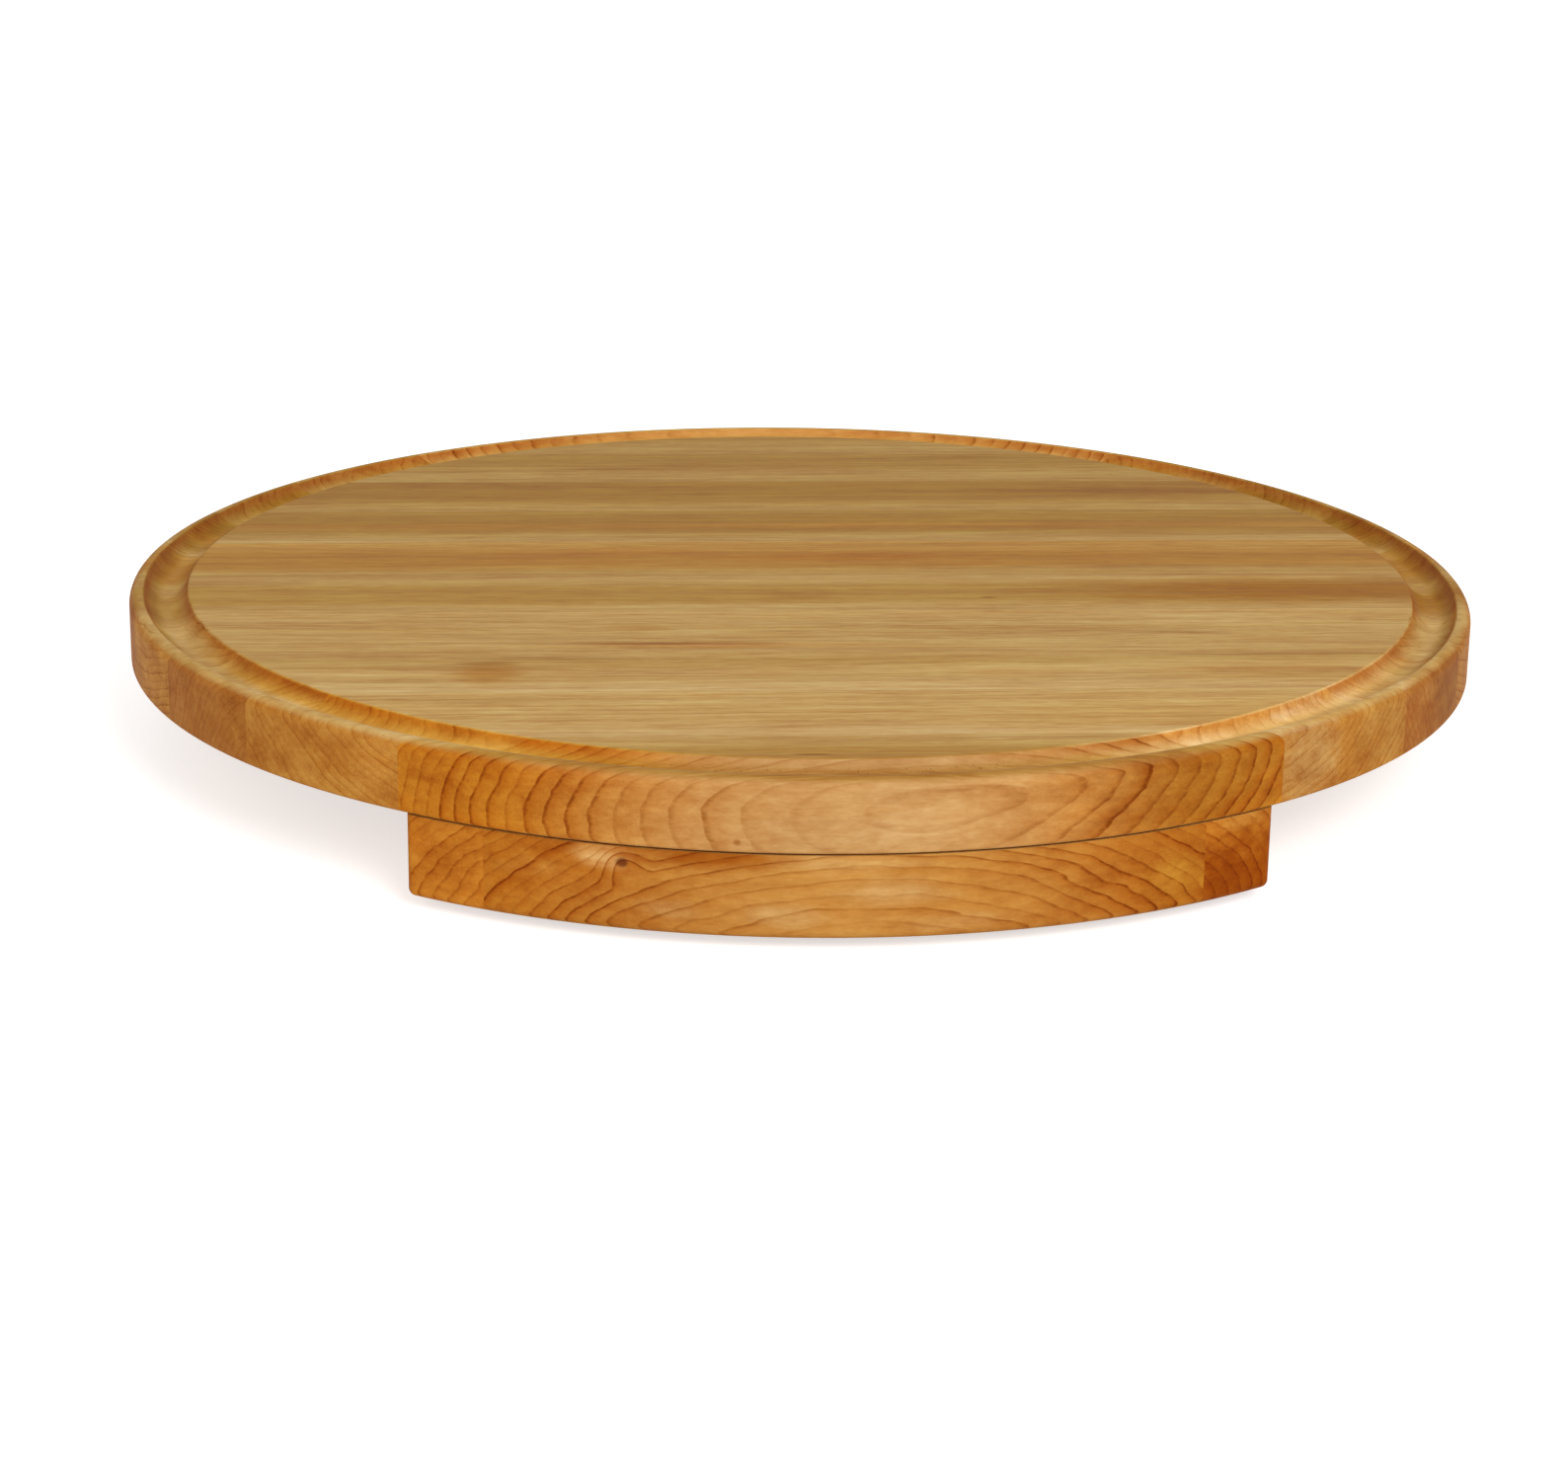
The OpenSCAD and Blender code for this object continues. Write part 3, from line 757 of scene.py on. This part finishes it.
def maple(name, near, far, joints, across, pith, ring, seed, end, lean=(0.0, 0.0), line=1.0,
          plain_line=0.25, wild=0.0, patches=(), sides=(), knots=(), grooved=False):
    """The maple of one stave between its near and far seams.

    across: the tones of the upper face, from the near seam to the far one
    pith, lean: y and z of the rings' middle, and how far it leans along x
    ring: the width of a ring
    end: the tones of the edge, along the grain and across it
    line, plain_line: how dark the rings are, and how much of that shows along the grain
    wild: how far the rings are bent out of round
    patches, sides: ovals on top, by x and y, and on the front, by x and z, each with its middle, its
        half-lengths, its colour and how strong it is
    knots: on the front, by x, z, size and how far they push the rings aside
    """
    wood = Maple(name, seed)
    wood.grow_rings(pith, lean, ring, wild, knots)
    tone = wood.fibre_tones(wood.face_tones(near, far, across, end))
    for spot in patches:
        tone = wood.patch(tone, wood.y, spot, wood.upper)
    for spot in sides:
        tone = wood.patch(tone, wood.z, spot, (1.0 - wood.upper) * wood.rise(wood.y, 0.0, 1.0, 1.0, 0.0))
    tone = wood.ring_tones(tone, line, plain_line)
    for knot in knots:
        tone = wood.knot_heart(tone, knot)
    if grooved:
        # the groove's own tones, with its painted sheen, highlight, shade and light
        tone = wood.groove_tones_and_painted_light(tone)
    tone = wood.glue_lines(wood.flecks(tone), joints)
    wood.surface(tone)
    return wood.material


def zinc(name):
    """Zinc-plated sheet: pale cloudy spangle, faint scratches of the rolling and duller patches."""
    f = Finish(name, Metallic=1.0)
    spangle = f.grains((5, 5, 5), detail=3.0, roughness=0.6)
    rolled = f.grains((22, 0.35, 22), detail=3.0, roughness=0.7)
    haze = f.grains((26, 26, 26), (4, 1, 7), 2.0, 0.5)
    tone = f.mix(f.rise(spangle + haze * 0.6, -0.25, 0.25), (0.50, 0.52, 0.55, 1), (0.68, 0.69, 0.70, 1))
    f.feed("Base Color", tone)
    f.feed("Roughness", 0.34 + rolled * 0.22 + haze * 0.18)
    f.relief(rolled + spangle * 0.3, 0.3, 0.02)
    return f.material


def polished_ball(name):
    """Hardened steel ball: bright, with a faint film of grease in places."""
    f = Finish(name, Metallic=1.0)
    film = f.rise(f.grains((2.5, 2.5, 2.5), detail=2.0), 0.0, 0.25)
    f.feed("Base Color", f.mix(film, (0.80, 0.80, 0.82, 1), (0.62, 0.58, 0.50, 1)))
    f.feed("Roughness", 0.08 + film * 0.22)
    return f.material


def screw_plate(name):
    """Zinc-plated screw: a little yellower than the sheet, worn bright and darker in small cloudy patches."""
    f = Finish(name, Metallic=1.0)
    wear = f.grains((1.2, 1.2, 1.2), detail=3.0, roughness=0.6)
    f.feed("Base Color", f.mix(f.rise(wear, -0.2, 0.2), (0.56, 0.55, 0.52, 1), (0.74, 0.74, 0.73, 1)))
    f.feed("Roughness", 0.30 + wear * 0.25)
    f.relief(wear, 0.25, 0.03)
    return f.material


def moulded(name, dark, light, rough, grain):
    """A moulded surface: two close tones in soft clouds, with a fine pebbled grain of the mould."""
    f = Finish(name, Specular_IOR_Level=0.4)
    cloud = f.grains((7, 7, 7), detail=2.0)
    pebble = f.grains((grain, grain, grain), detail=2.0, roughness=0.6)
    dust = f.rise(f.grains((1.6, 1.6, 1.6), (5, 5, 5), 3.0, 0.7), 0.12, 0.32)
    f.feed("Base Color", f.mix(f.rise(cloud + pebble * 0.5 + dust * 0.2, -0.25, 0.3), dark, light))
    f.feed("Roughness", rough + pebble * 0.18 + dust * 0.08)
    f.relief(pebble, 0.4, 0.05)
    return f.material


# ---------------------------------------------------------------- the wood of each stave

SHARES = (0.08, 0.3, 0.5, 0.7, 0.92)    # where a stave's tones lie between its near seam and its far one


def tones(*colours):
    return [(share, paint(*colour)) for share, colour in zip(SHARES, colours)]


# Tones of the upper face, from the palest to the darkest.
CREAM = (210, 172, 110)
WHEAT = (203, 162, 95)
STRAW = (196, 155, 88)
COPPER = (195, 145, 66)
HONEY = (188, 146, 75)
GOLD = (182, 137, 60)
BRASS = (174, 129, 51)
RUST = (180, 125, 44)
BARK = (171, 122, 55)
UMBER = (168, 120, 40)

# The edge's tones, along the grain and across it, then tints for patches.
FRONT_END = (paint(194, 148, 92), paint(190, 118, 31))
PALE_END = (paint(198, 148, 86), paint(186, 124, 50))
ORANGE_END = (paint(194, 138, 70), paint(172, 108, 44))
BROWN = (0.62, 0.44, 0.26, 1)
ORANGE = (0.92, 0.70, 0.42, 1)
DARK = (0.72, 0.60, 0.42, 1)
LIGHT = (1.14, 1.20, 1.32, 1)
KNOT = (0.80, 0.60, 0.28, 1)
GLINT = (1.45, 2.3, 6.5, 1)
PINK = (1.10, 1.36, 2.3, 1)
AMBER = (0.74, 0.50, 0.22, 1)

BOARD_WOOD = [
    dict(across=tones(BARK, BARK, BARK, GOLD, STRAW),
         pith=(-264.1, 40.6), lean=(0.0875, 0.09), ring=2.9, seed=1, end=FRONT_END, line=1.3,
         patches=[(-11, -205, 9, 1.6, BROWN, 0.9)],
         sides=[(20, 42, 26, 9, LIGHT, 0.5), (-34, 34.5, 1.6, 1.3, BROWN, 0.9), (28, 50, 9, 0.9, BROWN, 0.5),
                (104, 44, 48, 22, (0.75, 0.75, 0.90, 1), 1.0), (-70, 50, 60, 6, ORANGE, 0.3)]),
    dict(across=tones(CREAM, WHEAT, WHEAT, WHEAT, WHEAT),
         pith=(-212, 88), lean=(0.0, 0.02), ring=2.3, seed=2, end=PALE_END, line=0.55,
         sides=[(-140, 43, 9, 16, LIGHT, 0.5), (141, 44, 15, 20, (1.04, 1.30, 2.4, 1), 1.0),
                (171, 44, 16, 16, (1.0, 1.16, 1.5, 1), 0.8)],
         patches=[(110, -168, 95, 22, (0.97, 0.86, 0.62, 1), 0.6), (-95, -150, 60, 5, DARK, 0.4)]),
    dict(across=tones(CREAM, STRAW, WHEAT, HONEY, STRAW),
         pith=(-175, 15), lean=(-0.01, 0.0), ring=2.3, seed=3, end=ORANGE_END, line=0.45,
         sides=[(-205, 44, 4, 12, LIGHT, 0.6), (-184, 45, 8, 14, (0.95, 0.92, 0.70, 1), 0.8),
                (-172, 46, 5, 12, LIGHT, 0.7), (202, 43, 15, 20, (0.78, 0.76, 0.62, 1), 1.0)],
         patches=[(-106, -121, 16, 17, KNOT, 0.95), (-108, -110, 13, 3.0, BROWN, 0.6),
                  (-90, -105, 40, 3.0, BROWN, 0.4), (148, -104, 60, 1.6, BROWN, 0.7),
                  (150, -122, 60, 20, (0.94, 0.84, 0.66, 1), 0.6)]),
    dict(across=tones(STRAW, STRAW, STRAW, STRAW, WHEAT),
         pith=(-60, 110), lean=(0.0, 0.01), ring=2.6, seed=4, end=PALE_END, line=0.7,
         sides=[(208, 43, 12, 18, (0.86, 0.82, 0.66, 1), 0.9), (-213, 43, 5, 12, LIGHT, 0.5)],
         patches=[(-50, -88.5, 46, 2.2, BROWN, 0.9), (-30, -91, 70, 5, ORANGE, 0.65),
                  (-58, -70, 16, 7, KNOT, 0.5), (114, -78, 26, 2.2, BROWN, 0.6),
                  (150, -66, 60, 12, LIGHT, 0.55), (61, -52, 5, 1.2, DARK, 0.5)]),
    dict(across=tones(STRAW, GOLD, GOLD, GOLD, STRAW),
         pith=(40, 20), lean=(0.02, 0.0), ring=2.4, seed=5, end=ORANGE_END, line=0.6,
         patches=[(168, -27, 120, 20, (0.82, 0.62, 0.14, 1), 1.0), (61, -34.6, 4, 1.6, BROWN, 0.8)]),
    dict(across=tones(HONEY, RUST, RUST, RUST, COPPER),
         pith=(-70, 75), lean=(0.0, 0.01), ring=2.7, seed=6, end=ORANGE_END, line=0.6,
         patches=[(20, 20, 60, 9, ORANGE, 0.7), (-60, 28, 50, 6, ORANGE, 0.5)]),
    dict(across=tones(STRAW, BRASS, RUST, UMBER, BRASS),
         pith=(130, 95), lean=(-0.01, 0.0), ring=2.5, seed=7, end=ORANGE_END, line=0.6,
         patches=[(20, 60, 120, 6, (0.84, 0.72, 0.52, 1), 0.4)]),
    dict(across=tones(HONEY, GOLD, UMBER, UMBER, UMBER),
         pith=(60, 105), ring=2.6, seed=8, end=ORANGE_END, line=0.6,
         patches=[(140, 116, 80, 10, (0.82, 0.66, 0.48, 1), 0.8), (-34, 92, 60, 2.0, BROWN, 0.35)]),
    dict(across=tones(HONEY, HONEY, GOLD, BRASS, BRASS),
         pith=(200, 15), ring=2.4, seed=9, end=ORANGE_END, line=0.6,
         patches=[(-58, 153, 46, 2.0, BROWN, 0.5)]),
    dict(across=tones(HONEY, HONEY, GOLD, GOLD, GOLD),
         pith=(262, 20), lean=(0.02, 0.0), ring=2.8, seed=10, end=ORANGE_END, line=1.1),
]

BASE_TOP_TONES = tones((190, 140, 76), (186, 134, 70), (184, 130, 66), (186, 134, 70), (188, 138, 74))
BASE_PALE = (paint(191, 135, 64), paint(176, 104, 28))
BASE_DEEP = (paint(180, 116, 46), paint(172, 96, 24))
BASE_LEFT = (paint(194, 130, 60), paint(192, 118, 36))
BASE_WOOD = [
    dict(pith=(-300, -32), lean=(0.02, 0.0), ring=2.3, seed=21, end=BASE_PALE, line=1.1,
         knots=[(-66.8, 25.5, 10, -4.0)], plain_line=0.45, wild=3.0,
         sides=[(-74, 27, 11, 4.5, GLINT, 0.9), (-42, 29, 30, 6, AMBER, 1.0), (-53, 12, 12, 5, PINK, 0.8),
                (-92, 21, 16, 4, PINK, 0.5), (-20, 12, 16, 5, PINK, 0.7), (12, 19, 22, 6, PINK, 0.6),
                (30, 9, 20, 4, PINK, 0.5), (44, 24, 24, 6, LIGHT, 0.4),
                (98, 14, 14, 12, (1.06, 1.30, 1.4, 1), 0.8), (74, 9, 26, 4, AMBER, 0.3),
                (-4, 28, 30, 4, PINK, 0.5)]),
    dict(pith=(-250, -12), ring=2.7, seed=22, end=BASE_LEFT, line=0.7, wild=2.0,
         sides=[(123, 11, 40, 24, (0.60, 0.38, 0.10, 1), 1.0), (119, 29, 14, 4, PINK, 0.8)]),
    dict(pith=(-150, 60), ring=2.7, seed=23, end=BASE_PALE),
    dict(pith=(-70, -30), ring=2.6, seed=24, end=BASE_PALE),
    dict(pith=(-80, 70), ring=2.9, seed=25, end=BASE_DEEP),
    dict(pith=(30, -40), ring=2.5, seed=26, end=BASE_PALE),
    dict(pith=(30, 80), ring=2.7, seed=27, end=BASE_DEEP),
    dict(pith=(120, -35), ring=2.6, seed=28, end=BASE_PALE),
    dict(pith=(150, 65), ring=2.8, seed=29, end=BASE_PALE),
    dict(pith=(220, -20), ring=2.6, seed=30, end=BASE_DEEP),
    dict(pith=(270, 45), lean=(0.03, 0.0), ring=2.9, seed=31, end=BASE_PALE, line=1.2),
]


# ---------------------------------------------------------------- putting it together

def glue_up(staves, ends, woods, row, build, **common):
    """Makes a row of staves, each with its own wood, between its two ends."""
    for number, (stave, near, far, wood) in enumerate(zip(staves, ends, ends[1:], woods), 1):
        joints = [y for y in (near, far) if y in ends[1:-1]]
        build(stave, near, far, maple(f"maple_{row}_{number:02d}", near, far, joints, **common, **wood))


glue_up(BOARD_STAVES, BOARD_SEAMS, BOARD_WOOD, "board", board_stave, grooved=True)
glue_up(BASE_STAVES, BASE_SEAMS, BASE_WOOD, "base", base_stave, across=BASE_TOP_TONES)

foot_rubber = moulded("foot_rubber", (0.012, 0.012, 0.013, 1), (0.035, 0.034, 0.033, 1), 0.62, 0.5)
for foot in ("front_left", "back_left", "front_right", "back_right"):
    rubber_foot(f"rubber_foot_{foot}", foot_rubber)

CAD_FINISHES = {
    "bearing_lower_plate": zinc("zinc_lower_plate"),
    "bearing_upper_plate": zinc("zinc_upper_plate"),
    "bearing_balls": polished_ball("polished_ball"),
    "ball_cage": moulded("cage_nylon", (0.50, 0.47, 0.40, 1), (0.66, 0.64, 0.57, 1), 0.45, 0.35),
    "upper_plate_screws": screw_plate("screw_zinc_upper"),
    "lower_plate_screws": screw_plate("screw_zinc_lower"),
    "foot_screws": screw_plate("screw_zinc_foot"),
}
for node, finish in CAD_FINISHES.items():
    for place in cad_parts[node].material_slots:
        place.material = finish


# ---------------------------------------------------------------- camera, floor and light

CAMERA_TURN, CAMERA_TILT, CAMERA_ROLL = 4.088, 17.707, 0.829     # degrees
CAMERA_PLACE = (-0.0900, -1.1929, 0.3746)
SENSOR, LENS = 36.0, 82.13
LIT_SPOT = (0, 0, 0.04)
FLOOR_REACH = 12.0


def stand(name, data, axes, place):
    """Puts a camera or a light into the scene; its axes are its right, its top and the way behind it."""
    thing = bpy.data.objects.new(name, data)
    bpy.context.scene.collection.objects.link(thing)
    pose = np.eye(4)
    pose[:3] = np.column_stack([*axes, place])
    thing.matrix_world = Matrix(pose.tolist())
    return thing


def camera():
    turn, tilt, roll = map(math.radians, (CAMERA_TURN, CAMERA_TILT, CAMERA_ROLL))
    ahead = np.array([math.sin(turn) * math.cos(tilt), math.cos(turn) * math.cos(tilt), -math.sin(tilt)])
    level = np.array([math.cos(turn), -math.sin(turn), 0.0])
    above = np.cross(level, ahead)
    right = math.cos(roll) * level + math.sin(roll) * above
    top = -math.sin(roll) * level + math.cos(roll) * above
    data = bpy.data.cameras.new("camera")
    data.sensor_fit, data.sensor_width, data.lens = "HORIZONTAL", SENSOR, LENS
    bpy.context.scene.camera = stand("camera", data, (right, top, -ahead), CAMERA_PLACE)


def soft_light(name, place, width, power):
    """A white disk that shines on the middle of the object."""
    data = bpy.data.lights.new(name, "AREA")
    data.shape, data.size, data.energy = "DISK", width, power
    back = np.array(place, float) - np.array(LIT_SPOT, float)
    back /= np.linalg.norm(back)
    side = np.cross((0, 0, 1), back)
    side /= np.linalg.norm(side)
    stand(name, data, (side, np.cross(back, side), back), place)


def white_room():
    """A large pale floor that keeps the object's shadow, under a world that camera and gloss see as white."""
    mesh = bpy.data.meshes.new("floor")
    corners = [(x * FLOOR_REACH, y * FLOOR_REACH, 0) for x, y in ((-1, -1), (1, -1), (1, 1), (-1, 1))]
    mesh.from_pydata(corners, [], [(0, 1, 2, 3)])
    floor = bpy.data.objects.new("floor", mesh)
    bpy.context.scene.collection.objects.link(floor)
    plain = {"Base_Color": (0.86, 0.86, 0.86, 1), "Roughness": 0.9, "Specular_IOR_Level": 0.0}
    f = Finish("floor_white", **plain)
    lifted = f.principled({**plain, "Emission_Color": (1, 1, 1, 1), "Emission_Strength": 0.62})
    both = f.node("MixShader", (), {0: f.seen_white(), 1: f.shader, 2: lifted})
    f.join(f.output.inputs["Surface"], both)
    mesh.materials.append(f.material)

    world = bpy.data.worlds.new("studio")
    bpy.context.scene.world = world
    world.use_nodes = True
    sky = Nodes(world.node_tree)
    dim = sky.node("Background", (), {"Color": (1, 0.985, 0.96, 1), "Strength": 0.50})
    white = sky.node("Background", (), {"Color": (1, 1, 1, 1), "Strength": 1.0})
    both = sky.node("MixShader", (), {0: sky.seen_white(), 1: dim, 2: white})
    sky.node("OutputWorld", (), {"Surface": both})


camera()
white_room()
soft_light("key", (0.6, -1.95, 1.3), 1.0, 28.0)
soft_light("fill", (-1.2, -1.7, 1.0), 1.2, 7.0)
bpy.context.scene.view_settings.view_transform = "Standard"
